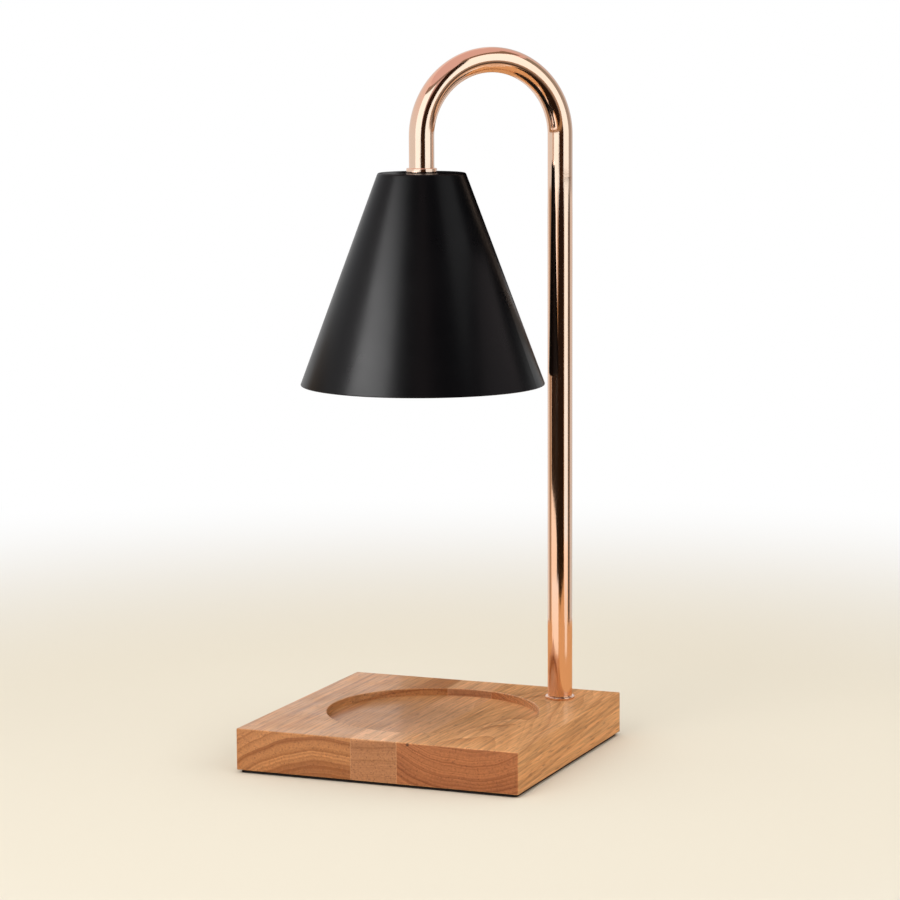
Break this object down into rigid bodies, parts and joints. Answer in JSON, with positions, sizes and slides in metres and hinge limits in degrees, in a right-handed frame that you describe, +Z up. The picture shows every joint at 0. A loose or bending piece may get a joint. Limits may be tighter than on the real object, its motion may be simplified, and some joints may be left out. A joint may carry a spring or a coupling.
{
  "type": "candle warmer lamp",
  "caption": "Table lamp that melts jar candles: square wooden base with a round recess, rose-gold gooseneck tube and matte black cone shade over the candle.",
  "frame": {"origin": "centre of the underside of the square base's pad", "axes": "+Z up, +X and +Y along the sides of the base; the pole stands near the +X +Y corner and the arm points back over the middle"},
  "size_m": [0.15, 0.15, 0.3577],
  "materials": {
    "beech": "clear semi-gloss lacquer over warm reddish-brown beech",
    "felt": "matte black foam",
    "rose_gold_plate": "polished rose-gold plating",
    "zinc_steel": "bright zinc plating",
    "plain_brass": "turned, unlacquered",
    "black_paint": "matte black powder coat",
    "porcelain": "glazed white",
    "black_rubber": "matte",
    "nylon": "natural",
    "brown_silicone": "smooth",
    "blue_silicone": "smooth",
    "coated_glass": "aluminium coated pressed glass",
    "clear_glass": "clear",
    "tungsten": "dull grey"
  },
  "bodies": {
    "lamp": {"base_pad": "felt", "base_stave_left": "beech", "base_stave_middle": "beech", "base_stave_right": "beech", "cord_gland": "black_rubber", "gooseneck_tube": "rose_gold_plate", "base_collar": "rose_gold_plate", "shade_collar": "rose_gold_plate", "lower_nipple": "plain_brass", "upper_nipple": "plain_brass", "fender_washer": "zinc_steel", "lower_lock_washer": "zinc_steel", "upper_lock_washer": "zinc_steel", "lower_nut": "plain_brass", "upper_nut": "plain_brass", "lower_bush": "nylon", "upper_bush": "nylon", "splice_caps": "nylon", "shade": "black_paint", "holder_bracket": "zinc_steel", "holder_body": "porcelain", "holder_face": "porcelain", "holder_screws": "zinc_steel", "holder_rivets": "plain_brass", "holder_contacts": "plain_brass", "lead_live": "brown_silicone", "lead_neutral": "blue_silicone"},
    "bulb": {"bulb_base": "porcelain", "bulb_pins": "zinc_steel", "bulb_reflector": "coated_glass", "bulb_lens": "clear_glass", "bulb_capsule": "clear_glass", "bulb_filament": "tungsten"}
  },
  "joints": [
    {"name": "bulb_twist", "type": "hinge", "parent": "lamp", "child": "bulb", "pos_m": [-0.00324, -0.00324, 0.2565], "axis": [0, 0, -1], "range_deg": [0, 40]}
  ]
}
